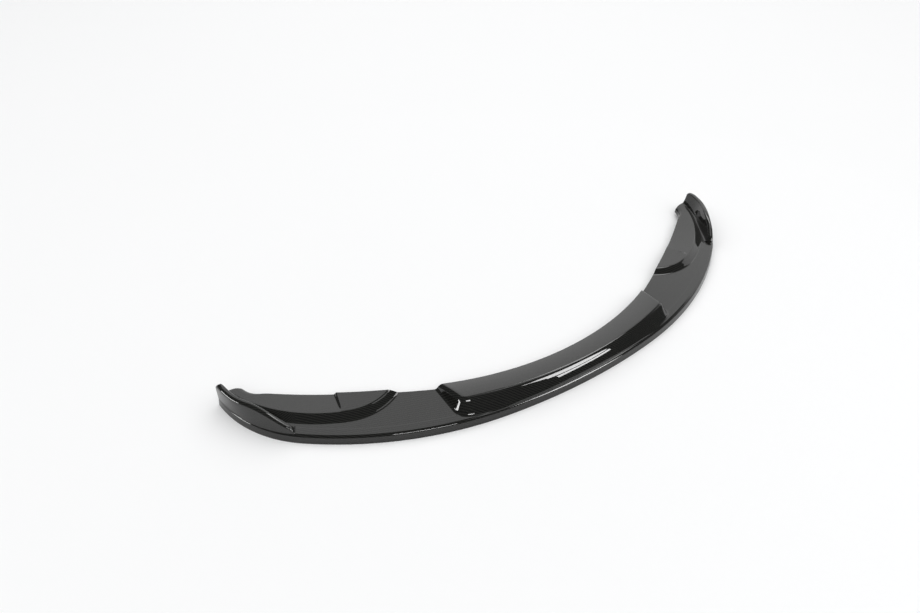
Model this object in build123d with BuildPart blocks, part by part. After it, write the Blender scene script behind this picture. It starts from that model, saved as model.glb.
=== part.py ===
from build123d import *
import os
from math import acos, asin, cos, degrees, hypot, radians, sin, tan

# Front edge in plan: three tangent arcs from the centre line to each end, as radius and angle.
nose_radius = 1670.0
nose_angle = 8.3
shoulder_radius = 950.0
shoulder_angle = 29.6
cheek_radius = 320.0
cheek_angle = 52.0

# Rear edge in plan: three tangent arcs from the centre line to the tail, the last one over the tail's depth.
lip_depth = 430.0
waist_depth = 91.5
waist_radius = 832.0
waist_angle = 26.3
flank_radius = 2570.0
tail_radius = 81.0
tail_depth = 47.0
tail_corner = 9.0

# Laminate, deck and front face.
wall = 2.5
deck_height = 22.0
front_draft = 8.0
edge_radius = 6.0

# Raised centre pad: its front crease is an arc, and its top falls towards the rear.
centre_rise = 35.0
centre_setback = 26.0
centre_radius = 1050.0
centre_half_width = 325.0
centre_corner = 12.0
centre_front_run = 18.0
centre_end_run = 21.0
centre_fall = 15.0
centre_crease = 5.0

# Raised outer pads: the crease starts behind the rear edge, bends at the heel and runs on beside the fin.
outer_rise = 12.0
outer_start_x = 423.6
outer_start_depth = 239.0
outer_heading = -45.0
heel_radius = 130.0
heel_angle = 65.0
outer_radius = 370.0
outer_angle = 54.0
outer_draft = 57.0
outer_crease = 14.0

# Lowered end of each outer pad: from a small step outwards its top falls away from the crease.
step_x = 577.0
step_depth = 222.0
step_heading = 102.0
step_fall = 8.0

# End fins: a thin wall with a round bead on top, which starts bluntly, rises along the cheek and bows in.
fin_rise = 51.0
fin_ramp = 130.0
fin_lead = 0.15
fin_length = 247.0
fin_bow = 6.2
fin_bow_length = 190.0
fin_rim = 9.0
fin_round = 4.2
fin_lean = 22.0
fin_draft = 5.0
fin_start_setback = 7.0
fin_end_setback = 4.0
fin_root = 10.0
fin_pocket = 2.0

# Rolled flange that hangs from the tail corners.
flange_drop = 10.0

nose = -lip_depth / 2
tail = lip_depth / 2
front_tilt = radians(front_draft)
fin_tilt = radians(fin_lean)
fin_slope = radians(fin_draft)
fin_sections = 12


def turn_over(depth, radius, heading):
    """Angle of an arc of that radius which starts at that heading and gains that depth."""
    return degrees(acos(cos(radians(heading)) - depth / radius)) - heading


def front_edge(inset):
    """Right half of the front edge, moved in by inset and led straight on past the tail."""
    with BuildLine() as edge:
        first = JernArc((0, nose + inset), (1, 0), nose_radius - inset, nose_angle)
        second = JernArc(first @ 1, first % 1, shoulder_radius - inset, shoulder_angle)
        third = JernArc(second @ 1, second % 1, cheek_radius - inset, cheek_angle)
        Line(third @ 1, third @ 1 + third % 1 * lip_depth)
    return edge.line


def deck_form(inset):
    edge = front_edge(inset / cos(front_tilt))
    with BuildPart() as deck:
        with BuildSketch():
            with BuildLine():
                add(edge)
                Polyline(edge @ 1, (0, (edge @ 1).Y), edge @ 0)
            make_face()
            mirror(about=Plane.YZ)
        extrude(amount=deck_height - inset, taper=front_draft)
        fillet(edges().group_by(Axis.Z)[-1].filter_by(GeomType.CIRCLE), edge_radius - inset)
    return deck.part


def centre_outline(level, front, half, corner):
    """Plan of the centre pad at that level: its front arc, ends and rounded front corners."""
    radius = centre_radius + nose + centre_setback - front
    back = front + lip_depth
    with BuildSketch(Plane.XY.offset(level)) as outline:
        with BuildLine():
            crease = JernArc((0, front), (1, 0), radius, degrees(asin(half / radius)))
            Polyline(crease @ 1, (half, back), (0, back), (0, front))
        make_face()
        mirror(about=Plane.YZ)
        corners = vertices().filter_by(lambda v: abs(v.X) > half / 2).group_by(Axis.Y)[0]
        fillet(corners, corner)
    return outline.sketch


def centre_form(inset):
    crease_y = nose + centre_setback
    level = deck_height + centre_rise
    fall = tan(radians(centre_fall))
    top = level - inset / cos(radians(centre_fall))
    front = crease_y + inset * hypot(centre_rise, centre_front_run) / centre_rise
    half = centre_half_width - inset * hypot(centre_rise, centre_end_run) / centre_rise
    reach = (centre_rise + inset) / centre_rise
    upper = centre_outline(level, front, half, centre_corner - inset)
    lower = centre_outline(
        deck_height - inset,
        front - centre_front_run * reach,
        half + centre_end_run * reach,
        centre_corner - inset + centre_front_run * reach,
    )
    with BuildPart() as pad:
        add([lower, upper])
        loft(ruled=True)
        with BuildSketch(Plane.YZ):
            with BuildLine():
                Polyline(
                    (crease_y - level, 0),
                    (crease_y - level, top + level * fall),
                    (crease_y + top / fall, 0),
                    close=True,
                )
            make_face()
        revolve(axis=Axis((0, crease_y + centre_radius, 0), (0, 0, 1)), mode=Mode.INTERSECT)
        roof = faces().filter_by(GeomType.CONE).sort_by(SortBy.AREA)[-1]
        creases = roof.edges().filter_by(lambda e: e.center().Z > deck_height)
        fillet(creases, centre_crease - inset)
    return pad.part


def outer_form(inset):
    """Right-hand outer pad."""
    side = inset * tan(radians(45 - outer_draft / 2))
    top = deck_height + outer_rise - inset
    heading = Vector(1, 0).rotate(Axis.Z, outer_heading)
    start = Vector(outer_start_x, nose + outer_start_depth) + heading.rotate(Axis.Z, 90) * side
    with BuildLine() as crease:
        heel = JernArc(start, heading, heel_radius - side, heel_angle)
        flank = JernArc(heel @ 1, heel % 1, outer_radius - side, outer_angle)
        Line(flank @ 1, flank @ 1 + flank % 1 * tail_depth)
    centre = flank.arc_center
    fall = outer_radius * tan(radians(step_fall))
    along = Vector(lip_depth, 0).rotate(Axis.Z, step_heading)
    step = Vector(step_x, nose + step_depth) + Vector(0, inset).rotate(Axis.Z, step_heading)
    with BuildPart() as relief:
        with BuildSketch(Plane((centre.X, centre.Y, top), x_dir=(1, 0, 0), z_dir=(0, -1, 0))):
            with BuildLine():
                Polyline((0, -fall), (outer_radius, 0), (outer_radius, top), (0, top), close=True)
            make_face()
        revolve(axis=Axis((centre.X, centre.Y, 0), (0, 0, 1)))
        with BuildSketch(Plane.XY.offset(top - fall)):
            with BuildLine():
                Polyline(
                    step - along,
                    step + along,
                    step + along + (2 * lip_depth, 0),
                    step - along + (2 * lip_depth, 0),
                    close=True,
                )
            make_face()
        extrude(amount=top + fall, mode=Mode.INTERSECT)
    with BuildPart() as pad:
        with BuildSketch(Plane.XY.offset(top)):
            with BuildLine():
                add(crease.line)
                Line(crease.line @ 1, crease.line @ 0)
            make_face()
        extrude(amount=-outer_rise, taper=-outer_draft)
        fillet(edges().group_by(Axis.Z)[-1].filter_by(GeomType.CIRCLE), outer_crease - inset)
        add(relief.part, mode=Mode.SUBTRACT)
    return pad.part


def fin_form(inset, drop):
    """Right-hand fin, lofted through sections square to the front edge, with its rim lowered by drop."""
    cheek = front_edge(0).edges().filter_by(GeomType.CIRCLE).sort_by(Axis.X)[-1]
    centre = cheek.arc_center
    tail_turn = acos((centre.Y - tail) / cheek_radius)
    root = deck_height - fin_root
    with BuildPart() as fin:
        for section in range(fin_sections + 1):
            share = section / (fin_sections - 1)
            turn = tail_turn - fin_length * (1 - share) / cheek_radius
            across = Vector(-sin(turn), cos(turn))
            run = share * fin_length
            swell = sin((fin_lead + (1 - fin_lead) * min(1, run / fin_ramp)) * radians(90))
            bow = fin_bow * sin(min(1, run / fin_bow_length) * radians(180)) ** 2
            height = fin_root + fin_rise * swell - drop
            setback = fin_start_setback + (fin_end_setback - fin_start_setback) * min(1, share)
            outer = setback + inset / cos(fin_slope)
            inner = setback + (height + drop) * tan(fin_slope) + fin_rim + drop * tan(fin_tilt)
            inner = inner - inset / cos(fin_tilt)
            front = centre - across * cheek_radius
            plane = Plane((front.X, front.Y, root), x_dir=across, z_dir=(cos(turn), sin(turn), 0))
            with BuildSketch(plane):
                with BuildLine():
                    Polyline(
                        (outer, 0),
                        (outer + bow + height * tan(fin_slope), height),
                        (inner + bow, height),
                        (inner + height * tan(fin_tilt), 0),
                        close=True,
                    )
                make_face()
                if inset == 0:
                    fillet(vertices().group_by(Axis.Y)[-1], fin_round)
        loft()
    return fin.part


def moulded_form(inset, drop):
    """Deck, pads and fins as one solid, with every face moved in by inset."""
    deck = deck_form(inset)
    centre_pad = centre_form(inset)
    right_pad = outer_form(inset)
    right_fin = fin_form(inset, drop)
    with BuildPart() as form:
        add([right_pad, right_fin])
        mirror(about=Plane.YZ)
        add([deck, centre_pad])
    return form.part


beyond = lip_depth + (front_edge(0) @ 1).X
with BuildSketch() as rear_area:
    with BuildLine():
        waist_arc = JernArc((0, nose + waist_depth), (1, 0), waist_radius, waist_angle)
        flank_angle = turn_over(tail - tail_depth - (waist_arc @ 1).Y, flank_radius, waist_angle)
        flank_arc = JernArc(waist_arc @ 1, waist_arc % 1, flank_radius, flank_angle)
        tail_angle = turn_over(tail_depth, tail_radius, waist_angle + flank_angle)
        tail_arc = JernArc(flank_arc @ 1, flank_arc % 1, tail_radius, tail_angle)
        Polyline(tail_arc @ 1, (beyond, tail), (beyond, beyond), (0, beyond), (0, nose + waist_depth))
    make_face()
    fillet(vertices().sort_by_distance(tail_arc @ 1)[0], tail_corner)
    mirror(about=Plane.YZ)

with BuildSketch(Plane.XY.offset(deck_height - flange_drop)) as flange_strip:
    add(rear_area.sketch)
    offset(amount=wall, mode=Mode.REPLACE)
    add(rear_area.sketch, mode=Mode.SUBTRACT)
    with Locations((0, tail - tail_depth)):
        Rectangle(2 * beyond, beyond, align=(Align.CENTER, Align.MIN), mode=Mode.INTERSECT)

pocket_width = fin_pocket + wall / cos(fin_slope) + wall / cos(fin_tilt)
pocket_drop = max(wall, (pocket_width - fin_rim) / (tan(fin_tilt) - tan(fin_slope)))
outside = moulded_form(0, 0)
inside = moulded_form(wall, pocket_drop)

# The underside is open: the space under the skin is cut away, except where the tail flange hangs.
with BuildPart() as hollow:
    add(inside)
    add(flange_strip.sketch)
    extrude(amount=lip_depth, mode=Mode.SUBTRACT)

with BuildPart() as splitter_lip:
    add(outside)
    add(hollow.part, mode=Mode.SUBTRACT)
    add(rear_area.sketch)
    extrude(amount=lip_depth, mode=Mode.SUBTRACT)

splitter_lip.part.label = "splitter_lip"
os.makedirs("parts", exist_ok=True)
export_step(splitter_lip.part, "parts/splitter_lip.step")
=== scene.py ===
from math import acos, asin, atan2, cos, hypot, pi, radians, sin, sqrt, tan

import bmesh
import bpy
from mathutils import Matrix, Vector


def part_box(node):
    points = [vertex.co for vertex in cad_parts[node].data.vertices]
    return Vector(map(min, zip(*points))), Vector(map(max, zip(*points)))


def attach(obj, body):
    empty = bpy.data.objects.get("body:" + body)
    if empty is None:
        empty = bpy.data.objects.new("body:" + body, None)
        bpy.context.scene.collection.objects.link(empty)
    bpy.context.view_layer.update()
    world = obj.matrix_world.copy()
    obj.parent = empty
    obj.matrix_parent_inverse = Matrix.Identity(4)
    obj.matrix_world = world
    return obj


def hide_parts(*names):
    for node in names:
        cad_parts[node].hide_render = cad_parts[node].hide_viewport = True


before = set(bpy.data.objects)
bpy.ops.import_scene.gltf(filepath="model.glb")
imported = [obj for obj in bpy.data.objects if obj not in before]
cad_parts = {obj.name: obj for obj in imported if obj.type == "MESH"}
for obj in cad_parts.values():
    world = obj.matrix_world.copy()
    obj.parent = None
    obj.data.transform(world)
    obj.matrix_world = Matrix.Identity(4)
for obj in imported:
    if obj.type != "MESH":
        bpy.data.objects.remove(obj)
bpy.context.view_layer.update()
scene = bpy.context.scene
scene.view_settings.view_transform = "Standard"

# Splitter lip: one skin of woven carbon fibre in epoxy, laid up in a mould and trimmed.
# Its lower edge lies on the floor. The deck behind the front band carries a raised centre pad,
# two outer pads with a small step, and a fin at each end; the tail corners roll over to a flange.
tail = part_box("splitter_lip")[1].y
nose = -tail
skin = 0.0025
deck_height = 0.022
front_draft = radians(8.0)
edge_radius = 0.006

# Plan: chains of tangent arcs as (radius, angle), from the middle of the lip to its right-hand tail.
front_arcs = [(1.670, radians(8.3)), (0.950, radians(29.6)), (0.320, radians(52.0))]
waist_radius = 0.832
waist_angle = radians(26.3)
waist_depth = 0.0915
flank_radius = 2.570
tail_radius = 0.081
tail_depth = 0.047
tail_corner = 0.009


def forward(heading):
    return Vector((cos(heading), sin(heading)))


def leftward(heading):
    return Vector((-sin(heading), cos(heading)))


def walk(start, arcs, length):
    """Point and heading after that length on a chain of tangent arcs; a negative angle turns right."""
    point, heading = Vector(start), 0.0
    for radius, angle in arcs:
        side = radius if angle > 0 else -radius
        hub = point + leftward(heading) * side
        heading += min(length / radius, abs(angle)) * (1 if angle > 0 else -1)
        point = hub - leftward(heading) * side
        length = max(0.0, length - radius * abs(angle))
    return point, heading


def arcs_length(arcs):
    return sum(radius * abs(angle) for radius, angle in arcs)


def heading_after(depth, radius, heading):
    """Heading at which an arc of that radius has gained that depth."""
    return acos(cos(heading) - depth / radius)


cheek_radius = front_arcs[2][0]
cheek_start, cheek_heading = walk((0.0, nose), front_arcs[:2], arcs_length(front_arcs[:2]))
tip_heading = heading_after(tail - cheek_start.y, cheek_radius, cheek_heading)
front_length = arcs_length(front_arcs[:2]) + cheek_radius * (tip_heading - cheek_heading)

waist = Vector((0.0, nose + waist_depth))
waist_end = walk(waist, [(waist_radius, waist_angle)], waist_radius * waist_angle)[0]
flank_heading = heading_after(tail - tail_depth - waist_end.y, flank_radius, waist_angle)
hub_depth = tail_radius * cos(flank_heading) - tail_depth + tail_corner
corner_heading = acos(hub_depth / (tail_radius + tail_corner))
rear_arcs = [
    (waist_radius, waist_angle),
    (flank_radius, flank_heading - waist_angle),
    (tail_radius, corner_heading - flank_heading),
    (tail_corner, -corner_heading),
]
rear_length = arcs_length(rear_arcs)
tail_run = arcs_length(rear_arcs[:2])

# Ribs: each runs from a station on the front edge to the rear edge. They are square to the car
# up to the end of the centre pad, then fan out, and one of them lies along the outer pad's step.
fan_start = 0.372
fan_lead = 0.34
fan_rear = waist_radius * asin(walk((0.0, nose), front_arcs, fan_start)[0].x / waist_radius)


def rear_run(station):
    """Length along the rear edge at which the rib of that station ends."""
    if station <= fan_start:
        return waist_radius * asin(walk((0.0, nose), front_arcs, station)[0].x / waist_radius)
    share = (station - fan_start) / (front_length - fan_start)
    return fan_rear + (rear_length - fan_rear) * (share + fan_lead * share * (1.0 - share))


def blend(reach, value):
    """Smooth step from 0 to 1 as value goes from 0 to reach."""
    share = min(1.0, max(0.0, value / reach))
    return share * share * (3.0 - 2.0 * share)


def soft_min(a, b, reach):
    """Lower of two heights, rounded where they differ by less than reach."""
    share = max(reach - abs(a - b), 0.0) / reach
    return min(a, b) - share * share * reach / 4.0


def soft_max(a, b, reach):
    return -soft_min(-a, -b, reach)


# Centre pad: steep walls rise to a curved crease, and the top is crowned and falls to the rear.
# Each wall is given as its slope at the crease and how fast it steepens over the bow below that.
centre_rise = 0.035
centre_setback = 0.026
centre_radius = 1.050
centre_half_width = 0.325
centre_corner = 0.012
centre_middle_wall = (1.18, 33.6)
centre_side_wall = (1.22, 5.0)
centre_end_wall = (1.15, 30.0)
centre_middle_end = 0.09
centre_wall_change = 0.14
centre_bow = 0.0093
centre_fall = 0.12
centre_crown = 1.5
centre_crease = 0.010
centre_foot = 0.005
centre_height = deck_height + centre_rise
centre_crease_y = nose + centre_setback


def centre_pad(x, y):
    behind = centre_radius - hypot(x, y - centre_crease_y - centre_radius)
    beside = centre_half_width - abs(x)
    inside = min(behind, beside)
    to_front = max(0.0, centre_corner - behind)
    to_end = max(0.0, centre_corner - beside)
    if to_front > 0.0 and to_end > 0.0:
        inside = centre_corner - (to_front**3 + to_end**3) ** (1 / 3)
    endward = blend(1.0, atan2(to_end, to_front) / (pi / 2)) if to_front + to_end > 0.0 else 0.0
    sideward = blend(centre_wall_change, abs(x) - centre_middle_end)
    front_wall = [a + (b - a) * sideward for a, b in zip(centre_middle_wall, centre_side_wall)]
    steep, bulge = [a + (b - a) * endward for a, b in zip(front_wall, centre_end_wall)]
    outside = max(0.0, -inside)
    bowed = min(outside, centre_bow)
    wall = centre_height + steep * inside - bulge * bowed * (2.0 * outside - bowed)
    roof = centre_height - centre_fall * behind - centre_crown * max(0.0, behind) ** 2
    return soft_min(wall, roof, centre_crease)


# Outer pads: a soft ramp rises to the heel and flank arcs; past a small step the top falls away
# faster from the flank.
outer_rise = 0.012
outer_run = 0.0185
outer_crease = 0.0025
outer_foot = 0.002
heel_start = Vector((0.4236, nose + 0.239))
heel_heading = radians(-45.0)
heel_radius = 0.130
heel_end = radians(20.0)
heel_fall = 0.04
outer_radius = 0.370
step_point = Vector((0.577, nose + 0.222))
step_heading = radians(102.0)
step_width = 0.008
step_fall = tan(radians(8.0))
outer_height = deck_height + outer_rise
outer_slope = outer_rise / outer_run
heel_hub = heel_start + leftward(heel_heading) * heel_radius
flank_hub = heel_hub + leftward(heel_end) * (outer_radius - heel_radius)
step_outward = -leftward(step_heading)


def outer_pad(x, y):
    place = Vector((x, y))
    past_heel = (place - heel_hub).dot(forward(heel_end)) > 0.0
    hub, radius = (flank_hub, outer_radius) if past_heel else (heel_hub, heel_radius)
    inside = radius - (place - hub).length
    lowered = blend(step_width, (place - step_point).dot(step_outward) + step_width / 2)
    top = outer_height - (heel_fall + lowered * (step_fall - heel_fall)) * max(0.0, inside)
    return soft_min(outer_height + outer_slope * inside, top, outer_crease)


def deck_top(place):
    raised = soft_max(deck_height, outer_pad(place.x, place.y), outer_foot)
    return soft_max(raised, centre_pad(place.x, place.y), centre_foot)


# Fins: behind the front band a thin wall rises along the cheek to a flat-topped bead with blunt ends.
# The bead bows in behind the band; the inner face is steep and meets the deck in a wide fillet.
fin_rise = 0.051
fin_length = 0.247
fin_ramp = 0.130
fin_lead = 0.15
fin_blunt = 0.014
fin_start = front_length - fin_length
fin_draft = tan(radians(1.0))
fin_bow = 0.0062
fin_bow_length = 0.190
fin_start_foot = 0.0065
fin_end_foot = 0.0028
fin_full_rise = 0.012
fin_steep = 4.2
fin_fillet = 0.026
rim_outer_round = 0.007
rim_flat = 0.004
rim_inner_round = 0.0042
rim_foot = 0.002
tip_run = 0.032
tip_drop = 0.010

# Edges: the front face rounds over to the deck, and the rear edge rolls down towards the tail's flange.
# The uppermost loop of the front face lies at the flange's lower edge, so that the two meet there.
flange_z = 0.012
flange_lead = 0.030
round_z = deck_height - edge_radius
round_x = round_z * tan(front_draft) + edge_radius / cos(front_draft)
plain_lead = 0.004
tail_roll = 0.013
roll_reach = 0.055
roll_lead = 0.02
trim_round = 0.0004

# Loops of each rib: front face, rounded edge, fin's outer face, rim, top behind it, rear roll.
face_loops = 4
round_loops = 6
fin_loops = 5
rim_loops = 5
near_loops = 13
far_loops = 32
roll_loops = 6
near_reach = 0.020


def fin_at(station):
    """Height of the rim over the deck, distance of the fin's outer foot from the front edge, and bow."""
    run = station - fin_start
    if run <= 0.0:
        return 0.0, fin_start_foot, 0.0
    swell = sin((fin_lead + (1.0 - fin_lead) * min(1.0, run / fin_ramp)) * pi / 2)
    to_start = 1.0 - min(1.0, run / fin_blunt)
    to_tip = min(1.0, max(0.0, 1.0 - (fin_length - run) / tip_run))
    rise = fin_rise * swell * sqrt(1.0 - to_start * to_start)
    rise -= tip_drop * (1.0 - sqrt(1.0 - to_tip * to_tip))
    foot = fin_start_foot + (fin_end_foot - fin_start_foot) * run / fin_length
    return rise, foot, fin_bow * sin(pi * min(1.0, run / fin_bow_length)) ** 2


def edge_profile(station):
    """Distance from the front edge and height of each loop, up to the inner side of the rim."""
    rise, foot, bow = fin_at(station)
    ease = blend(fin_full_rise, rise)
    start = pi - front_draft
    stop = pi / 2 + (acos((foot - round_x) / edge_radius) - pi / 2) * ease
    profile = []
    for k in range(face_loops):
        face_z = flange_z * k / (face_loops - 1)
        profile.append((face_z * tan(front_draft), face_z))
    for k in range(round_loops + 1):
        angle = start + (stop - start) * k / round_loops
        profile.append((round_x + edge_radius * cos(angle), round_z + edge_radius * sin(angle)))
    foot_x, foot_z = profile[-1]
    rim_z = deck_height + rise
    outer_drop = rim_outer_round * ease
    inner_drop = rim_inner_round * ease
    wall_x = foot_x + (rim_z - foot_z) * fin_draft + bow + plain_lead * (1.0 - ease)
    for k in range(1, fin_loops + 1):
        share = k / fin_loops
        outer_z = foot_z + (rim_z - outer_drop - foot_z) * share
        profile.append((foot_x + (wall_x - foot_x) * share, outer_z))
    for k in range(1, rim_loops + 1):
        angle = pi / 2 * k / rim_loops
        outer_x = wall_x + rim_outer_round * (1.0 - cos(angle))
        profile.append((outer_x, rim_z - outer_drop * (1.0 - sin(angle))))
    for k in range(rim_loops + 1):
        angle = pi / 2 * k / rim_loops
        inner_x = wall_x + rim_outer_round + rim_flat + rim_inner_round * sin(angle)
        profile.append((inner_x, rim_z - inner_drop * (1.0 - cos(angle))))
    return profile


def rib(station):
    """Points of one rib, from the lower front edge over the top to the rear edge."""
    front, heading = walk((0.0, nose), front_arcs, station)
    rear = walk(waist, rear_arcs, rear_run(station))[0]
    across = (rear - front).normalized()
    square = across.dot(leftward(heading))
    profile = edge_profile(station)
    points = []
    for k, (inset, z) in enumerate(profile):
        place = front + across * (inset / square)
        if k > face_loops + round_loops:
            z = soft_max(z, deck_top(place), rim_foot)
        points.append(place.to_3d() + Vector((0.0, 0.0, z)))
    rise = fin_at(station)[0]
    inner = profile[-1][0] / square
    roll = trim_round + tail_roll * blend(roll_reach, rear_run(station) - tail_run + roll_lead)
    near_end = inner + near_reach
    roll_from = (rear - front).length - roll
    offsets = [inner + near_reach * k / near_loops for k in range(1, near_loops + 1)]
    offsets += [near_end + (roll_from - near_end) * k / far_loops for k in range(1, far_loops + 1)]
    offsets += [roll_from + roll * sin(pi / 2 * k / roll_loops) for k in range(1, roll_loops + 1)]
    for offset in offsets:
        place = front + across * offset
        z = deck_top(place)
        if rise > 0.0:
            inner_face = deck_height + rise - rim_inner_round - fin_steep * (offset - inner) * square
            z = soft_max(z, inner_face, fin_fillet)
        over = max(0.0, offset - roll_from)
        z -= roll - sqrt(max(0.0, roll * roll - over * over))
        points.append(place.to_3d() + Vector((0.0, 0.0, z)))
    return points


# Stations, as stretches of (end, spacing): close together where the shape turns along the lip.
# In order: centre pad's middle, its end wall, heel, flank, step, cheek, fin's start, fin, tip, its edge.
step_station = 0.619
stretches = [
    (0.280, 0.0085),
    (fan_start, 0.0018),
    (0.440, 0.0042),
    (step_station - step_width, 0.0032),
    (step_station + step_width, 0.0010),
    (fin_start - 0.001, 0.0036),
    (fin_start + 0.016, 0.0008),
    (front_length - tip_run, 0.0030),
    (front_length - 0.004, 0.0020),
    (front_length, 0.0004),
]
stations = [0.0]
for end, spacing in stretches:
    first = stations[-1]
    count = round((end - first) / spacing)
    stations += [first + (end - first) * (k + 1) / count for k in range(count)]
ribs = [rib(station) for station in stations]

# The right half is a grid laid over the ribs. "weave" holds where each point of the cloth lay when flat.
rib_count, loop_count = len(ribs), len(ribs[0])
grid_half = 0.5
mesh = bmesh.new()
cloth = mesh.verts.layers.float_vector.new("weave")
bmesh.ops.create_grid(mesh, x_segments=rib_count - 1, y_segments=loop_count - 1, size=grid_half)
flange_y = walk(waist, rear_arcs, tail_run)[0].y
flange_verts = set()
laid = []
for points in ribs:
    reach = [0.0]
    for a, b in zip(points, points[1:]):
        reach.append(reach[-1] + (b - a).length)
    base = points[0].to_2d()
    along = (points[-1].to_2d() - base).normalized()
    laid.append([base + along * (r - reach[face_loops + round_loops]) for r in reach])
for vert in mesh.verts:
    i = round((vert.co.x + grid_half) * (rib_count - 1))
    j = round((vert.co.y + grid_half) * (loop_count - 1))
    vert.co = ribs[i][j]
    vert[cloth] = laid[i][j].to_3d()
    at_rear = j == loop_count - 1 and vert.co.y >= flange_y
    at_end = i == rib_count - 1 and j >= face_loops - 1
    if at_rear or at_end:
        flange_verts.add(vert)

# The tail's edge is led down to the flange's lower edge, which closes the end of the fin as well.
# Blender makes these edges and faces in no set order, so they are sorted to give the same mesh each time.
flange_edges = [e for e in mesh.edges if e.is_boundary and flange_verts.issuperset(e.verts)]
grid_counts = [(mesh.edges, len(mesh.edges)), (mesh.faces, len(mesh.faces))]
led = bmesh.ops.extrude_edge_only(mesh, edges=flange_edges)["geom"]
for vert in [g for g in led if isinstance(g, bmesh.types.BMVert)]:
    vert.co.z += (flange_z - vert.co.z) * blend(flange_lead, vert.co.y - flange_y)
    vert[cloth].y += vert.co.z
for parts, count in grid_counts:
    parts.index_update()
    made = sorted(parts[count:], key=lambda part: sorted(vert.co.to_tuple() for vert in part.verts))
    for k, part in enumerate(made):
        part.index = count + k
    parts.sort()

# The left half is mirrored and welded on, and the sheet is then thickened inwards to the laminate.
weld = 1e-6
everything = mesh.verts[:] + mesh.edges[:] + mesh.faces[:]
bmesh.ops.mirror(mesh, geom=everything, matrix=Matrix.Identity(4), merge_dist=weld, axis="X")
bmesh.ops.remove_doubles(mesh, verts=mesh.verts[:], dist=weld)
bmesh.ops.recalc_face_normals(mesh, faces=mesh.faces[:])
if sum(face.normal.z * face.calc_area() for face in mesh.faces) < 0.0:
    bmesh.ops.reverse_faces(mesh, faces=mesh.faces[:])
for vert in mesh.verts:
    if vert.co.x < 0.0:
        vert[cloth].x = -vert[cloth].x
for face in mesh.faces:
    face.smooth = True

sheet = bpy.data.meshes.new("lip_skin")
mesh.to_mesh(sheet)
mesh.free()
lip = bpy.data.objects.new("lip_skin", sheet)
scene.collection.objects.link(lip)
laminate = lip.modifiers.new("laminate", "SOLIDIFY")
laminate.thickness = skin
laminate.offset = -1.0
graph = bpy.context.evaluated_depsgraph_get()
thick_lip = lip.evaluated_get(graph)
solid = bpy.data.meshes.new_from_object(thick_lip, preserve_all_data_layers=True, depsgraph=graph)
lip.modifiers.clear()
lip.data = solid
for vert in solid.vertices:
    vert.co.z = max(0.0, vert.co.z)
sharp_angle = radians(40.0)
solid.set_sharp_from_angle(angle=sharp_angle)

# Finish: two-by-two twill of black carbon tows, each about two millimetres wide, seen through a clear
# gloss coat. The weft tows get a lighter base colour, a painted sheen for the tows that catch the light,
# where the warp tows stay dark.
tow_width = 0.0021
twill_repeat = 4.0
tows_over = 2.0
warp_colour = (0.007, 0.007, 0.0065, 1.0)
weft_sheen_colour = (0.018, 0.018, 0.016, 1.0)


class Wire:
    """A shader socket that can be used in sums; node() adds any other node."""

    def __init__(self, tree, socket):
        self.tree = tree
        self.socket = socket

    def node(self, kind, settings, sockets, output=0):
        made = self.tree.nodes.new(kind)
        for name, value in settings.items():
            setattr(made, name, value)
        for name, value in sockets.items():
            if isinstance(value, Wire):
                self.tree.links.new(value.socket, made.inputs[name])
            else:
                made.inputs[name].default_value = value
        return Wire(self.tree, made.outputs[output])

    def maths(self, operation, first, second=0.0):
        return self.node("ShaderNodeMath", {"operation": operation}, {0: first, 1: second})

    def __add__(self, other):
        return self.maths("ADD", self, other)

    def __sub__(self, other):
        return self.maths("SUBTRACT", self, other)

    def __rsub__(self, other):
        return self.maths("SUBTRACT", other, self)

    def __mul__(self, other):
        return self.maths("MULTIPLY", self, other)

    __rmul__ = __mul__

    def __truediv__(self, other):
        return self.maths("DIVIDE", self, other)

    def __mod__(self, other):
        return self.maths("FLOORED_MODULO", self, other)

    def __lt__(self, other):
        return self.maths("LESS_THAN", self, other)

    def floor(self):
        return self.maths("FLOOR", self)


carbon = bpy.data.materials.new("carbon")
carbon.use_nodes = True
coated = carbon.node_tree.nodes["Principled BSDF"]
shader = Wire(carbon.node_tree, None)
flat_place = shader.node("ShaderNodeAttribute", {"attribute_name": "weave"}, {}, "Vector")
across_tows = shader.node("ShaderNodeSeparateXYZ", {}, {0: flat_place}, "X") / tow_width
along_tows = shader.node("ShaderNodeSeparateXYZ", {}, {0: flat_place}, "Y") / tow_width
warp_on_top = (across_tows.floor() + along_tows.floor()) % twill_repeat < tows_over - 0.5
warp_side = across_tows % 1.0 - 0.5
weft_side = along_tows % 1.0 - 0.5
warp_round = 1.0 - 4.0 * warp_side * warp_side
weft_round = 1.0 - 4.0 * weft_side * weft_side
tow_round = weft_round + warp_on_top * (warp_round - weft_round)
# Painted sheen: the weft tows are coloured lighter than the warp tows, as if they caught the light.
weave_and_sheen_tint = shader.node(
    "ShaderNodeMix",
    {"data_type": "RGBA"},
    {"Factor": warp_on_top, "A": weft_sheen_colour, "B": warp_colour},
    "Result",
)
relief = shader.node("ShaderNodeBump", {}, {"Strength": 0.25, "Distance": 0.0002, "Height": tow_round})
carbon.node_tree.links.new(weave_and_sheen_tint.socket, coated.inputs["Base Color"])
carbon.node_tree.links.new(relief.socket, coated.inputs["Normal"])
coated.inputs["Roughness"].default_value = 0.42
coated.inputs["Coat Weight"].default_value = 1.0
coated.inputs["Coat Roughness"].default_value = 0.02
coated.inputs["Coat IOR"].default_value = 1.5
coated.inputs["Specular IOR Level"].default_value = 0.0
solid.materials.append(carbon)
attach(lip, "root")
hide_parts("splitter_lip")

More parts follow.
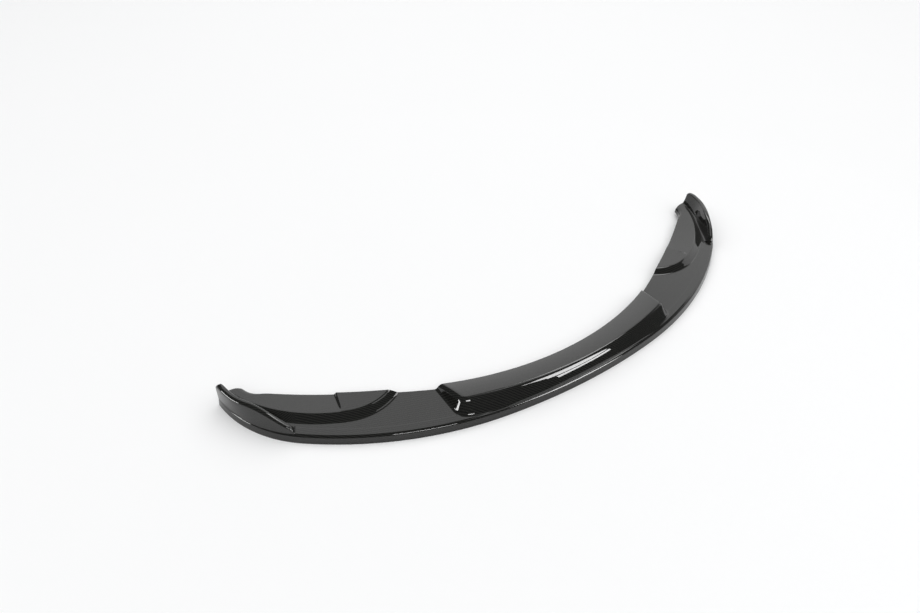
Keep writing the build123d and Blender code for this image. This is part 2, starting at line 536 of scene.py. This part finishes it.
# Floor: the plain white studio floor that the lip lies on.
# It is matt, so that it shows the lip's soft shadow and no reflection.
floor_size = 40.0
floor_colour = (0.92, 0.92, 0.92, 1.0)
bpy.ops.mesh.primitive_plane_add(size=floor_size)
floor = bpy.context.object
floor.name = "floor"
white = bpy.data.materials.new("white_floor")
white.use_nodes = True
matt = white.node_tree.nodes["Principled BSDF"]
matt.inputs["Base Color"].default_value = floor_colour
matt.inputs["Roughness"].default_value = 0.9
floor.data.materials.append(white)

# Studio light: a soft ceiling, and bright cards round the floor that only the gloss coat shows.
# The dim room between them is what the dark parts of the gloss mirror.
room_colour = (0.92, 0.96, 1.0, 1.0)
room_strength = 0.10
room = bpy.data.worlds.new("room")
room.use_nodes = True
backdrop = room.node_tree.nodes["Background"]
backdrop.inputs["Color"].default_value = room_colour
backdrop.inputs["Strength"].default_value = room_strength
scene.world = room


def softbox(name, azimuth, elevation, distance, width, height, brightness):
    """Flat white light that faces the lip; azimuth runs clockwise from the rear of the car."""
    lamp = bpy.data.lights.new(name, "AREA")
    lamp.shape = "RECTANGLE"
    lamp.size = width
    lamp.size_y = height
    lamp.energy = brightness * pi * width * height
    card = bpy.data.objects.new(name, lamp)
    turn = radians(azimuth)
    level = distance * cos(radians(elevation))
    card.location = (level * sin(turn), level * cos(turn), distance * sin(radians(elevation)))
    card.rotation_euler = card.location.to_track_quat("Z", "Y").to_euler()
    card.visible_camera = False
    scene.collection.objects.link(card)
    return card


ceiling = softbox("ceiling", 0.0, 90.0, 6.0, 20.0, 20.0, 1.22)
ceiling.visible_glossy = False
cards = [
    softbox("rear_card", 31.0, 30.5, 4.5, 5.8, 4.2, 1.32),
    softbox("right_card", 85.3, 20.0, 5.87, 3.8, 3.4, 1.25),
    softbox("top_card", 66.0, 56.0, 3.5, 1.6, 0.7, 6.0),
    softbox("overhead_card", 84.0, 71.0, 3.5, 1.1, 1.1, 1.6),
    softbox("left_card", -74.0, 4.0, 3.0, 1.1, 0.5, 16.0),
    softbox("front_low_card", 150.0, 9.5, 3.0, 1.1, 0.38, 16.0),
    softbox("front_high_card", 151.0, 31.0, 3.0, 1.24, 1.5, 16.0),
    softbox("side_card", 199.0, 40.0, 5.0, 1.66, 0.9, 18.0),
]
for card in cards:
    card.visible_diffuse = False

# Camera: above and in front of the left-hand end, as the photograph was taken.
camera_place = (-0.9613, -1.1029, 1.3274)
camera_tilt = radians(49.60)
camera_turn = radians(-32.99)
lens = bpy.data.cameras.new("camera")
lens.lens = 28.17
lens.sensor_width = 36.0
camera = bpy.data.objects.new("camera", lens)
camera.location = camera_place
camera.rotation_euler = (camera_tilt, 0.0, camera_turn)
scene.collection.objects.link(camera)
scene.camera = camera
